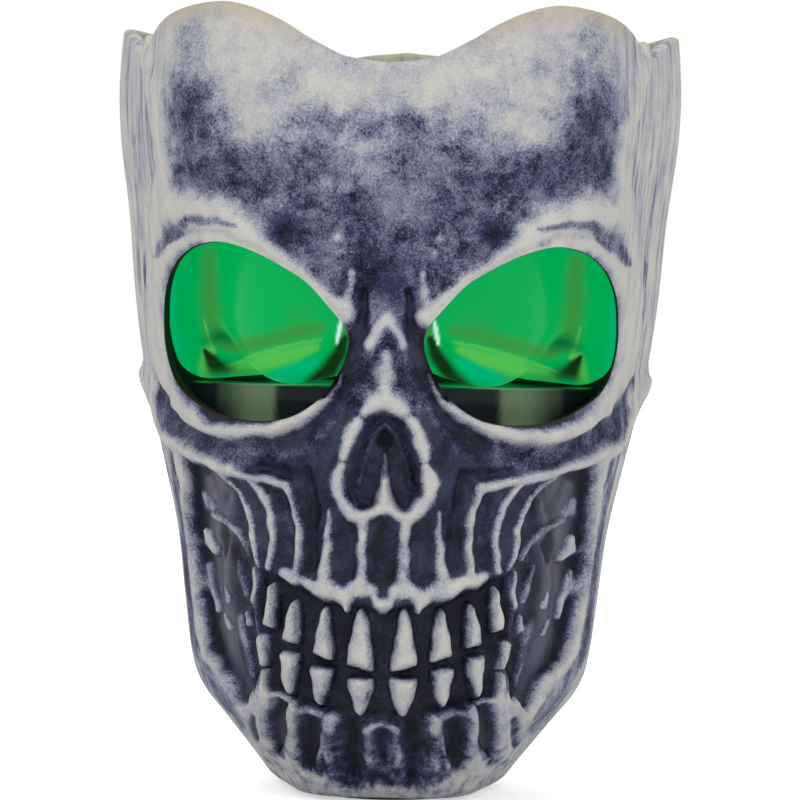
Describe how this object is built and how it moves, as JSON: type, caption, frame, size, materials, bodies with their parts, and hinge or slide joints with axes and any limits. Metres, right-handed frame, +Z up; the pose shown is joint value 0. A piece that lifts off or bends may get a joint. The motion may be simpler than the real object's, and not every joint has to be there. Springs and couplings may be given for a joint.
{
  "type": "skull votive holder",
  "caption": "Skull-shaped votive holder: hollow lobed skull cup with open eyes, a green cup inside on a stand, and a battery tea light that glows through the eyes.",
  "frame": {"origin": "centre of the underside of the base pad, on the surface that the holder stands on", "axes": "+Z up through the open rim, the face looks along -Y, +X to the viewer's right when facing the skull"},
  "size_m": [0.0806, 0.079, 0.1076],
  "materials": {
    "skull_paint": "dark purple plastic dry-brushed with bone paint",
    "liner_green": "clear green, polished",
    "stand_black": "dark glossy plastic",
    "pad_foam": "matt foam rubber",
    "screw_steel": "zinc plated",
    "tealight_white": "warm white moulded plastic",
    "flame_amber": "translucent warm plastic",
    "switch_black": "ribbed black plastic",
    "cell_steel": "brushed steel can",
    "contact_brass": "spring brass",
    "board_green": "solder resist",
    "led_clear": "clear resin"
  },
  "bodies": {
    "skull": {"base_pad": "pad_foam", "skull_shell": "skull_paint", "inner_stand": "stand_black", "stand_screw_1": "screw_steel", "stand_screw_2": "screw_steel", "stand_screw_3": "screw_steel"},
    "liner": {"votive_liner": "liner_green"},
    "tealight": {"tealight_body": "tealight_white", "tealight_base": "tealight_white", "tealight_battery": "cell_steel", "tealight_contact_minus": "contact_brass", "tealight_contact_plus": "contact_brass", "tealight_circuit": "board_green", "tealight_led": "led_clear", "tealight_flame": "flame_amber"},
    "battery_door": {"tealight_battery_door": "tealight_white"},
    "switch": {"tealight_switch": "switch_black"}
  },
  "joints": [
    {"name": "liner_lift", "type": "slide", "parent": "skull", "child": "liner", "axis": [0, 0, 1], "range_m": [0, 0.055]},
    {"name": "tealight_lift", "type": "slide", "parent": "liner", "child": "tealight", "axis": [0, 0, 1], "range_m": [0, 0.05]},
    {"name": "battery_door_twist", "type": "hinge", "parent": "tealight", "child": "battery_door", "pos_m": [0, 0.0035, 0.0647], "axis": [0, 0, 1], "range_deg": [-45, 0]},
    {"name": "switch_slide", "type": "slide", "parent": "tealight", "child": "switch", "axis": [1, 0, 0], "range_m": [0, 0.0025]}
  ]
}
